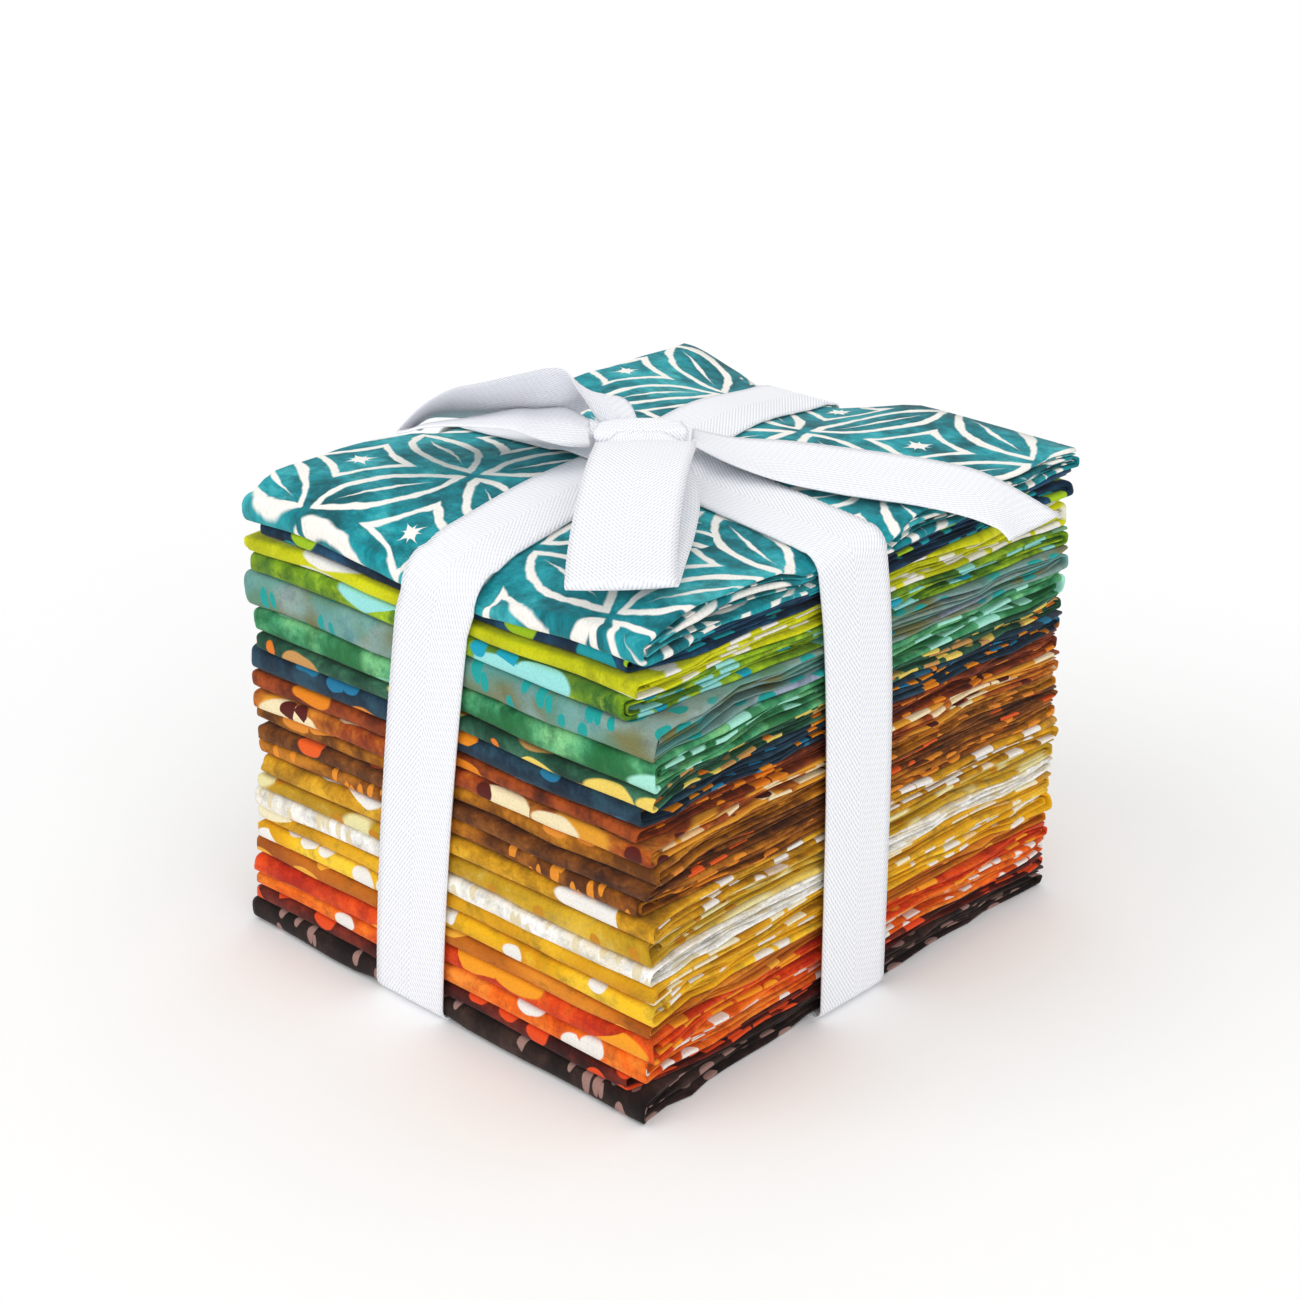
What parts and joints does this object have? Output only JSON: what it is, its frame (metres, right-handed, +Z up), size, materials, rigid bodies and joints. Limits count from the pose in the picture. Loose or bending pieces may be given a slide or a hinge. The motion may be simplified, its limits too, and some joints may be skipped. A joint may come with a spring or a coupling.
{
  "type": "fat quarter bundle",
  "caption": "Stack of folded quilting fabrics tied both ways with flat twill ribbon, which ends in a low bow with one long tail.",
  "frame": {"origin": "under the middle of the folded stack, on the surface that it rests on", "axes": "+Z up; -Y is the side with one rounded fold for each fat quarter; +X is the side with the layered ends; the ribbon's tail points towards +X and +Y"},
  "size_m": [0.1651, 0.1726, 0.1575],
  "materials": {
    "fat_quarter_01_cloth": "printed quilting cotton",
    "fat_quarter_02_cloth": "printed quilting cotton",
    "fat_quarter_03_cloth": "printed quilting cotton",
    "fat_quarter_04_cloth": "printed quilting cotton",
    "fat_quarter_05_cloth": "printed quilting cotton",
    "fat_quarter_06_cloth": "printed quilting cotton",
    "fat_quarter_07_cloth": "printed quilting cotton",
    "fat_quarter_08_cloth": "printed quilting cotton",
    "fat_quarter_09_cloth": "printed quilting cotton",
    "fat_quarter_10_cloth": "printed quilting cotton",
    "fat_quarter_11_cloth": "printed quilting cotton",
    "fat_quarter_12_cloth": "printed quilting cotton",
    "fat_quarter_13_cloth": "printed quilting cotton",
    "fat_quarter_14_cloth": "printed quilting cotton",
    "fat_quarter_15_cloth": "printed quilting cotton",
    "fat_quarter_16_cloth": "printed quilting cotton",
    "fat_quarter_17_cloth": "printed quilting cotton",
    "fat_quarter_18_cloth": "printed quilting cotton",
    "fat_quarter_19_cloth": "printed quilting cotton",
    "fat_quarter_20_cloth": "printed quilting cotton",
    "fat_quarter_21_cloth": "printed quilting cotton",
    "fat_quarter_22_cloth": "printed quilting cotton",
    "fat_quarter_23_cloth": "printed quilting cotton",
    "ribbon_tape": "white herringbone twill tape"
  },
  "bodies": {
    "root": {"fat_quarter_01": "fat_quarter_01_cloth", "fat_quarter_02": "fat_quarter_02_cloth", "fat_quarter_03": "fat_quarter_03_cloth", "fat_quarter_04": "fat_quarter_04_cloth", "fat_quarter_05": "fat_quarter_05_cloth", "fat_quarter_06": "fat_quarter_06_cloth", "fat_quarter_07": "fat_quarter_07_cloth", "fat_quarter_08": "fat_quarter_08_cloth", "fat_quarter_09": "fat_quarter_09_cloth", "fat_quarter_10": "fat_quarter_10_cloth", "fat_quarter_11": "fat_quarter_11_cloth", "fat_quarter_12": "fat_quarter_12_cloth", "fat_quarter_13": "fat_quarter_13_cloth", "fat_quarter_14": "fat_quarter_14_cloth", "fat_quarter_15": "fat_quarter_15_cloth", "fat_quarter_16": "fat_quarter_16_cloth", "fat_quarter_17": "fat_quarter_17_cloth", "fat_quarter_18": "fat_quarter_18_cloth", "fat_quarter_19": "fat_quarter_19_cloth", "fat_quarter_20": "fat_quarter_20_cloth", "fat_quarter_21": "fat_quarter_21_cloth", "fat_quarter_22": "fat_quarter_22_cloth", "fat_quarter_23": "fat_quarter_23_cloth", "ribbon_lengthways": "ribbon_tape", "ribbon_crossways": "ribbon_tape", "ribbon_knot": "ribbon_tape", "ribbon_loop_left": "ribbon_tape", "ribbon_loop_near": "ribbon_tape", "ribbon_tail": "ribbon_tape"}
  },
  "joints": []
}
